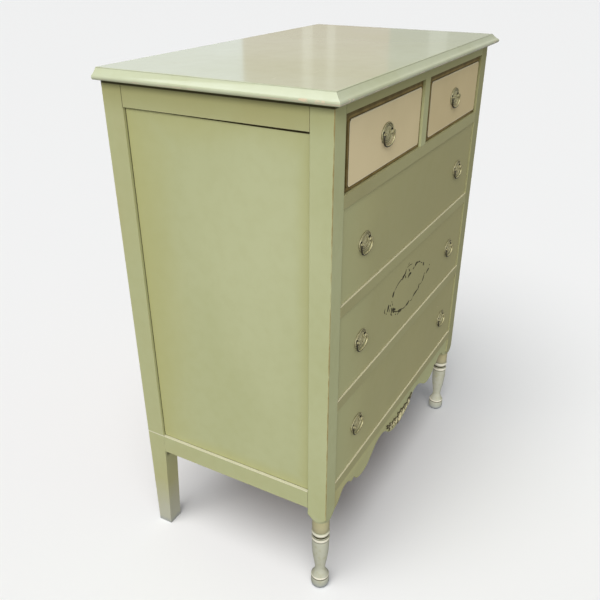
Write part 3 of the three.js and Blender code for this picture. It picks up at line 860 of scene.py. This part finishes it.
def carving(finish):
    """Three flower heads joined by leaves, carved in one piece and glued on the apron's drop."""
    mesh = bmesh.new()
    middle_z = apron_high.z - 45 * MM
    relief = carving_high.y - carving_low.y
    flower_body(mesh, 0, middle_z - 0.5 * MM, 15.5 * MM, relief, 6, 0.26)
    for side in (-1, 1):
        flower_body(mesh, side * 44 * MM, middle_z + 4 * MM, 11.5 * MM, relief * 0.84, 5, 0.6)
        leaves = [
            (22, 6.5, 12, 4.4, 5.0, 0.35), (23, -3.5, 12, 4.6, 5.2, -0.25),
            (26, 1.5, 11, 3.6, 5.8, 0.05),
            (60, 14, 11, 3.8, 4.4, 0.75), (63, 7.5, 13, 4.2, 4.8, 0.3), (61, 0.5, 11, 3.8, 4.2, -0.15),
            (79, 19.5, 11.5, 3.4, 3.6, 0.45), (76, 13, 11, 3.0, 3.4, 0.15),
            (8, 12.5, 9, 3.4, 4.4, 1.0), (7, -13, 8, 3.2, 4.2, -0.7), (34, 11, 8, 3.0, 4.0, 0.9),
        ]
        for x, z, long, wide, proud, tilt in leaves:
            angle = tilt if side > 0 else math.pi - tilt
            leaf_body(
                mesh, side * x * MM, middle_z + z * MM, long * MM, wide * MM, proud * MM, angle
            )
    bmesh.ops.recalc_face_normals(mesh, faces=mesh.faces)
    piece = new_object("flower_carving", mesh, finish)
    fuse = piece.modifiers.new("one_piece", "REMESH")
    fuse.mode = "VOXEL"
    fuse.voxel_size = 0.55 * MM
    soften = piece.modifiers.new("sanded", "SMOOTH")
    soften.factor = 0.5
    soften.iterations = 2
    bpy.context.view_layer.update()
    depsgraph = bpy.context.evaluated_depsgraph_get()
    fused = bpy.data.meshes.new_from_object(piece.evaluated_get(depsgraph))
    piece.modifiers.clear()
    piece.data = fused
    for vertex in fused.vertices:
        vertex.co.x = min(max(vertex.co.x, carving_low.x), carving_high.x)
        vertex.co.y = min(max(vertex.co.y, carving_low.y), carving_high.y)
    fused.shade_smooth()
    fused.materials.clear()
    fused.materials.append(finish)
    settled(piece, "carcass", ["apron_carving"])


# ---- Pulls ----------------------------------------------------------------------------------


PULL_SHARP = 45


def plate_height(share, turn):
    """How proud the plate stands at that share of its radius: two rims and a small rosette."""
    outer_rim = 1.25 * math.exp(-(((share - 0.94) / 0.035) ** 2))
    inner_rim = 1.0 * math.exp(-(((share - 0.77) / 0.035) ** 2))
    rosette = 0.9 * math.exp(-((share / 0.34) ** 4)) * (0.72 + 0.28 * math.cos(8 * turn))
    heart = 0.5 * math.exp(-((share / 0.13) ** 2))
    edge = 1 if share < 0.97 else max(0, (1 - share) / 0.03) ** 0.5
    return (0.9 + outer_rim + inner_rim + rosette + heart) * edge * MM


def oval_plate(mesh):
    turns = whole_turn(RING_STEPS)
    shares = [1.0, *(0.995 - 0.015 * i for i in range(20))]
    shares += [*(0.68 - 0.04 * i for i in range(16)), 0.03]
    rings = [[(PLATE_HALF_WIDTH * math.cos(t), 0.0, PLATE_HALF_HEIGHT * math.sin(t)) for t in turns]]
    for share in shares:
        rings.append(
            [
                (PLATE_HALF_WIDTH * share * math.cos(t), -plate_height(share, t),
                 PLATE_HALF_HEIGHT * share * math.sin(t))
                for t in turns
            ]
        )
    loft(mesh, rings)


def turned_along_y(mesh, x, profile, sides=24):
    """Rings of (radius, distance out from the face) round a line along Y."""
    rings = [
        [(x + r * math.cos(a), -out, r * math.sin(a)) for a in whole_turn(sides)]
        for r, out in profile
    ]
    loft(mesh, rings)


def stud(mesh, x):
    """A turned stud with a collar, and a drilled barrel head that the bail turns in."""
    profile = [(5.4, 0.8), (5.4, 1.5), (4.9, 2.0), (3.6, 2.1), (2.9, 2.6), (2.5, 4.2), (2.6, 6.4)]
    turned_along_y(mesh, x, [(r * MM, out * MM) for r, out in profile])
    half_barrel = [(0.8, 4.0), (1.9, 3.7), (2.5, 3.1), (2.5, 2.3)]
    barrel = [(-u, r) for u, r in reversed(half_barrel)] + half_barrel
    rings = []
    for a in whole_turn(28):
        rings.append(
            [(x + u * MM, -STUD_REACH + r * MM * math.cos(a), r * MM * math.sin(a)) for u, r in barrel]
        )
    loft(mesh, [*rings, rings[0]], capped=False)


def pull_plate(name, drawer, node, finish):
    mesh = bmesh.new()
    oval_plate(mesh)
    for side in (-1, 1):
        stud(mesh, side * STUD_SPACING / 2)
    bmesh.ops.remove_doubles(mesh, verts=mesh.verts, dist=1e-7)
    low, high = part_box(node)
    place = Vector(((low.x + high.x) / 2, high.y, (low.z + high.z) / 2))
    make_piece(name, mesh, finish, drawer, [node], place, PULL_SHARP)


def bail(name, node, finish):
    """A drop bail of drawn wire, thicker at the grip, its ends turned into the studs."""
    arm = STUD_SPACING / 2 + BARREL_HALF_LENGTH + BAIL_PLAY + WIRE_RADIUS
    half = [
        (17 * MM, 0), (19.5 * MM, 0), (22 * MM, 0), (arm - 0.5 * MM, -WIRE_RADIUS),
        (arm + 0.4 * MM, -BAIL_DROP * 0.35), (arm * 0.88, -BAIL_DROP * 0.72),
        (arm * 0.5, -BAIL_DROP * 0.95),
    ]
    other_half = [(x, z) for x, z in reversed(half)]
    path = flowing([*((-x, z) for x, z in half), (0, -BAIL_DROP), *other_half], 8)
    centre = [Vector((x, 0, z)) for x, z in path]
    rings = []
    sides = 16
    for i, point in enumerate(centre):
        ahead = (centre[min(i + 1, len(centre) - 1)] - centre[max(i - 1, 0)]).normalized()
        across = Vector((0, 1, 0)).cross(ahead).normalized()
        grip = max(0, 1 - abs(point.x) / (16 * MM))
        low = max(0, -point.z / BAIL_DROP)
        radius = WIRE_RADIUS * (0.86 + 0.2 * low + 0.2 * grip**1.5)
        rings.append(
            [
                point + across * radius * math.cos(a) + Vector((0, 1, 0)) * radius * math.sin(a)
                for a in whole_turn(sides)
            ]
        )
    mesh = bmesh.new()
    loft(mesh, rings)
    low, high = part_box(node)
    place = Vector(((low.x + high.x) / 2, (low.y + high.y) / 2, high.z - WIRE_RADIUS))
    make_piece(name, mesh, finish, node, [node], place, PULL_SHARP)


# ---- Painted wreath -------------------------------------------------------------------------


def brush_stroke(mesh, points, widest, ends=0.15):
    """One stroke of thick paint on the drawer's face, narrow at both ends."""
    face = drawer_face_y + 0.02 * MM
    path = [Vector((x * MM, 0, z * MM)) for x, z in flowing(points, 6)]
    rings = []
    for i, point in enumerate(path):
        ahead = (path[min(i + 1, len(path) - 1)] - path[max(i - 1, 0)]).normalized()
        across = Vector((-ahead.z, 0, ahead.x))
        t = i / (len(path) - 1)
        half = widest * MM / 2 * (ends + (1 - ends) * math.sin(math.pi * t) ** 0.6)
        ring = []
        for u, v in ((-1, 0), (-0.7, 0.8), (0, 1), (0.7, 0.8), (1, 0)):
            spot = point + across * half * u
            ring.append((spot.x, face - v * PAINT_THICKNESS, spot.z))
        rings.append(ring)
    loft(mesh, rings)


# Strokes of the wreath: points across and up on the drawer's face, then the stroke's width,
# all in millimetres, from the left end round over the top.
WREATH = [
    ([(-107, 624), (-105, 631), (-99, 636)], 7.5),
    ([(-99, 636), (-81, 645), (-67, 648), (-54, 650)], 2.6),
    ([(-58, 647), (-48, 651), (-38, 654)], 6.0),
    ([(-41, 652), (-36, 656), (-32, 664)], 5.0),
    ([(-36, 650), (-31, 641)], 3.6),
    ([(-18, 636), (-9, 641), (4, 641)], 6.0),
    ([(-28, 666), (-11, 666), (6, 663)], 1.6),
    ([(-15, 658), (-8, 649)], 3.2),
    ([(-22, 670), (-14, 674)], 2.0),
    ([(12, 647), (23, 648)], 3.4),
    ([(24, 649), (33, 653), (43, 653)], 6.0),
    ([(40, 652), (55, 650), (63, 645)], 2.6),
    ([(66, 643), (78, 638)], 2.0),
    ([(84, 635), (90, 627)], 7.0),
    ([(133, 611), (138, 609)], 3.0),
    ([(135, 601), (124, 599), (113, 595)], 5.2),
    ([(104, 601), (98, 598)], 2.6),
    ([(100, 597), (96, 590), (89, 583)], 5.4),
    ([(88, 583), (78, 581), (70, 583)], 2.0),
    ([(68, 585), (66, 578), (60, 572)], 5.6),
    ([(61, 574), (49, 572), (38, 570), (28, 567)], 5.0),
    ([(29, 565), (20, 562), (10, 563)], 1.8),
    ([(6, 567), (-4, 564), (-16, 563)], 5.4),
    ([(-14, 563), (-30, 563), (-42, 566)], 2.4),
    ([(-42, 566), (-54, 567), (-67, 572)], 6.4),
    ([(-58, 573), (-64, 566), (-70, 563)], 3.0),
    ([(-66, 571), (-82, 577), (-92, 583)], 2.6),
    ([(-91, 580), (-98, 588), (-102, 596)], 8.0),
    ([(-92, 590), (-84, 583)], 4.0),
    ([(-110, 600), (-108, 590), (-113, 582)], 5.0),
    ([(-119, 612), (-117, 606)], 3.4),
    ([(-106, 609), (-104, 603)], 3.4),
    ([(-112, 617), (-108, 612)], 2.2),
    ([(-128, 616), (-130, 609), (-134, 600)], 7.0),
    ([(-120, 603), (-122, 594)], 3.2),
    ([(-147, 615), (-152, 609), (-148, 602)], 3.0),
    ([(-142, 600), (-138, 596)], 2.4),
    ([(-112, 584), (-104, 578)], 2.8),
    ([(-84, 572), (-79, 568)], 2.6),
]


def wreath(finish):
    """An oval of broken stems and leaves, thickest at its left end."""
    mesh = bmesh.new()
    for points, wide in WREATH:
        brush_stroke(mesh, points, wide * 1.3)
    make_piece("painted_wreath", mesh, finish, "middle_drawer")


# ---- Putting the chest together -------------------------------------------------------------


def finish_boards():
    """Finishes and eases the boards that keep the frame's own shape."""
    on_frame = frame_finish()
    on_panel = panel_finish()
    on_front = front_finish()
    on_cream = cream_finish()
    on_runners = runner_finish("sage_and_runner_wood")
    along_x = wood_finish("bare_wood_along_x", (0.35, 4, 4))
    along_y = wood_finish("bare_wood_along_y", (4, 0.35, 4))
    ply = wood_finish("back_panel_wood", (3, 4, 0.3))
    for side in SIDES:
        for node in (f"rear_post_{side}", f"side_top_rail_{side}", f"side_bottom_rail_{side}"):
            dressed(node, on_frame)
            eased(node, 1.1 * MM)
        dressed(f"side_panel_{side}", on_panel)
    dressed("top_rail_and_stile", on_frame)
    eased("top_rail_and_stile", 0.8 * MM)
    dressed("back_panel", ply)
    for drawer in (*SMALL_DRAWERS, *TALL_DRAWERS):
        small = drawer in SMALL_DRAWERS
        dressed(f"{drawer}_front", on_cream if small else on_front)
        eased(f"{drawer}_front", (0.6 if small else 1.4) * MM, 3)
        for part in ("side_left", "side_right"):
            dressed(f"{drawer}_{part}", along_y)
        for part in ("back", "bottom"):
            dressed(f"{drawer}_{part}", along_x)
        for part in ("side_left", "side_right", "back"):
            eased(f"{drawer}_{part}", 0.8 * MM)
    for drawer in ("small_drawer", *TALL_DRAWERS):
        dressed(f"{drawer}_frame", on_runners)
        eased(f"{drawer}_frame", 1.0 * MM)


def build_chest():
    finish_boards()
    top_slab(top_finish())
    on_posts = leg_finish()
    for side in SIDES:
        front_post(side, on_posts)
    apron(apron_finish())
    carving(carving_finish())
    plates, wire = brass_finish(), bail_finish()
    for drawer, suffix in PULLS:
        pull_plate(f"{drawer}_plate{suffix}", drawer, f"{drawer}_pull_plate{suffix}", plates)
        bail(f"{drawer}_handle{suffix}", f"{drawer}_bail{suffix}", wire)
    wreath(stroke_finish())


# ---- Studio ---------------------------------------------------------------------------------

EYE = (-1.39613, -0.71322, 1.31462)


def aimed(thing, target):
    """Turns a lamp to look at its target."""
    thing.rotation_mode = "QUATERNION"
    thing.rotation_quaternion = (Vector(target) - thing.location).to_track_quat("-Z", "Y")


def floor():
    """A pale floor that throws no light back on the chest."""
    finish = Finish("studio_floor")
    speckle = finish.clouds(3, 2)
    color = finish.mix(speckle * 0.06, (0.89, 0.88, 0.86), (0.86, 0.85, 0.83))
    material = finish.surface(
        color, 0.85, Specular_IOR_Level=0.1, Emission_Color=(0.0, 0.4, 1.0), Emission_Strength=0.03
    )
    mesh = bmesh.new()
    bmesh.ops.create_grid(mesh, x_segments=4, y_segments=4, size=40)
    ground = new_object("studio_floor", mesh, material)
    ground.visible_diffuse = False
    ground.visible_glossy = False
    return ground


def backdrop():
    """A pale round wall far off, seen above the floor and lighting nothing."""
    finish = Finish("studio_backdrop")
    material = finish.surface(
        (0.0, 0.0, 0.0), 1.0,
        Specular_IOR_Level=0.0, Emission_Color=(0.86, 0.86, 0.86), Emission_Strength=1.0,
    )
    mesh = bmesh.new()
    radius = 38
    around = [(radius * math.cos(a), radius * math.sin(a)) for a in whole_turn(64)]
    rings = [[(x, y, z) for x, y in around] for z in (-0.1, 30)]
    loft(mesh, rings, capped=False)
    wall = new_object("studio_backdrop", mesh, material)
    wall.visible_diffuse = False
    wall.visible_glossy = False
    wall.visible_shadow = False


def hung(name, light, place, target):
    """A lamp at its place, turned to its target."""
    lamp = bpy.data.objects.new(name, light)
    lamp.location = place
    bpy.context.scene.collection.objects.link(lamp)
    aimed(lamp, target)
    return lamp


def sun(name, strength, towards, spread):
    """Even light along a direction. At strength 1 a white surface facing it looks white."""
    light = bpy.data.lights.new(name, "SUN")
    light.energy = strength * math.pi
    light.angle = math.radians(spread)
    place = Vector((0, 0, 4))
    return hung(name, light, place, place + Vector(towards))


def softbox(name, place, target, width, height, glow, color):
    """A glowing rectangle, as bright as glow times its color."""
    light = bpy.data.lights.new(name, "AREA")
    light.shape = "RECTANGLE"
    light.size = width
    light.size_y = height
    light.color = color
    light.energy = glow * width * height * math.pi
    return hung(name, light, place, target)


def only(lamp, objects, state):
    """Lets a lamp light just these objects, or everything but them."""
    group = bpy.data.collections.new(lamp.name + "_receivers")
    for thing in objects:
        group.objects.link(thing)
    lamp.light_linking.receiver_collection = group
    for member in group.collection_objects:
        member.light_linking.link_state = state


def card(name, azimuth, width, low, glow, color, ground):
    """A lit wall beyond the chest, for the top to reflect. The azimuth is from straight away."""
    distance, high = 5.4, 4.0
    away = math.radians(61 + azimuth)
    place = Vector((EYE[0] + distance * math.sin(away), EYE[1] + distance * math.cos(away), 0))
    place.z = (low + high) / 2
    lamp = softbox(name, place, (EYE[0], EYE[1], place.z), width, high - low, glow, color)
    only(lamp, [ground], "EXCLUDE")


def lights(ground):
    key = sun("key_light", 0.65, (0.80, 0.22, -0.56), 25)
    side_fill = sun("front_fill", 0.34, (0.45, 0.75, -0.3), 110)
    above = sun("sky_fill", 0.04, (0, 0, -1), 150)
    behind = sun("rear_fill", 0.3, (-0.6, -0.8, -0.25), 110)
    behind.visible_glossy = False
    over, under = (-0.5, 0.6, 3.0), (-0.2, 0, 1.1)
    ceiling = softbox("ceiling_light", over, under, 1.6, 1.6, 2.0, (0.92, 0.98, 1.0))
    for lamp in (key, side_fill, above, behind, ceiling):
        only(lamp, [ground], "EXCLUDE")
    wash = sun("floor_wash", 0.86, (0.5, 0.02, -1), 50)
    only(wash, [ground], "INCLUDE")
    for name, azimuth, width, glow, color in (
        ("far_wall", -2, 6.0, 0.235, (1.0, 1.0, 0.78)),
        ("left_window", -15.2, 2.0, 0.36, (0.78, 0.84, 1.0)),
        ("warm_door", 1.0, 1.08, 0.1, (1.0, 0.25, 0.08)),
        ("first_frame", 0.35, 0.075, 0.14, (0.9, 1.0, 0.95)),
        ("second_frame", 2.2, 0.06, 0.12, (0.9, 1.0, 0.95)),
        ("third_frame", 10.4, 0.13, 0.1, (0.95, 1.0, 0.98)),
    ):
        card(name, azimuth, width, 1.05, glow, color, ground)
    card("upper_wall", -2, 5.0, 1.78, 0.12, (0.75, 0.86, 1.0), ground)
    world = bpy.data.worlds.new("studio_air")
    world.use_nodes = True
    air = world.node_tree.nodes["Background"]
    air.inputs["Color"].default_value = (0.98, 0.99, 1.0, 1)
    air.inputs["Strength"].default_value = 0.24
    bpy.context.scene.world = world


def camera():
    """Stands to the left of the chest and looks down across its side and front."""
    lens = bpy.data.cameras.new("camera")
    lens.lens = 41.0
    lens.sensor_width = 36
    lens.shift_x = -0.0038
    lens.shift_y = 0.0412
    lens.clip_start = 0.05
    eye = bpy.data.objects.new("camera", lens)
    eye.location = EYE
    azimuth, elevation = math.radians(-60.95), math.radians(29.14)
    outward = Vector((math.sin(azimuth), -math.cos(azimuth), math.tan(elevation)))
    eye.rotation_mode = "QUATERNION"
    eye.rotation_quaternion = (-outward).to_track_quat("-Z", "Y")
    bpy.context.scene.collection.objects.link(eye)
    bpy.context.scene.camera = eye


camera()
build_chest()
backdrop()
lights(floor())
bpy.context.scene.view_settings.view_transform = "Standard"
